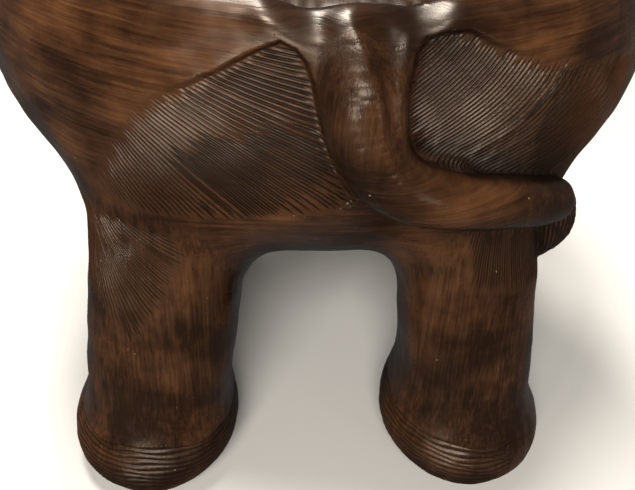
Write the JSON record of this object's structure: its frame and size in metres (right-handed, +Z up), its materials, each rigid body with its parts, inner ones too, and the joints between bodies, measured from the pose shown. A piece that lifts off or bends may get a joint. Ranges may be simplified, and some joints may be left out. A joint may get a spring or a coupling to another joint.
{
  "type": "carved wooden animal bowl",
  "caption": "Carved hardwood bowl in the form of a standing elephant, hollowed from the back, on column legs with bell-shaped feet.",
  "frame": {"origin": "on the floor, under the middle of the object's bounding box", "axes": "+Z up; +Y from the tail towards the head; -X is the animal's left side"},
  "size_m": [0.426, 0.6086, 0.392],
  "materials": {
    "stained_wood": "dark stain, waxed to a gloss",
    "plain_wood": "unfinished",
    "pale_wood": "waxed"
  },
  "bodies": {
    "root": {"bowl_body": "stained_wood", "rear_left_leg": "stained_wood", "rear_right_leg": "stained_wood", "front_left_leg": "stained_wood", "front_right_leg": "stained_wood", "tail": "stained_wood", "tail_tuft": "stained_wood", "head": "stained_wood", "left_ear": "stained_wood", "right_ear": "stained_wood", "left_tusk": "pale_wood", "right_tusk": "pale_wood", "upper_tail_dowel": "plain_wood", "lower_tail_dowel": "plain_wood", "upper_head_dowel": "plain_wood", "lower_head_dowel": "plain_wood"}
  },
  "joints": []
}
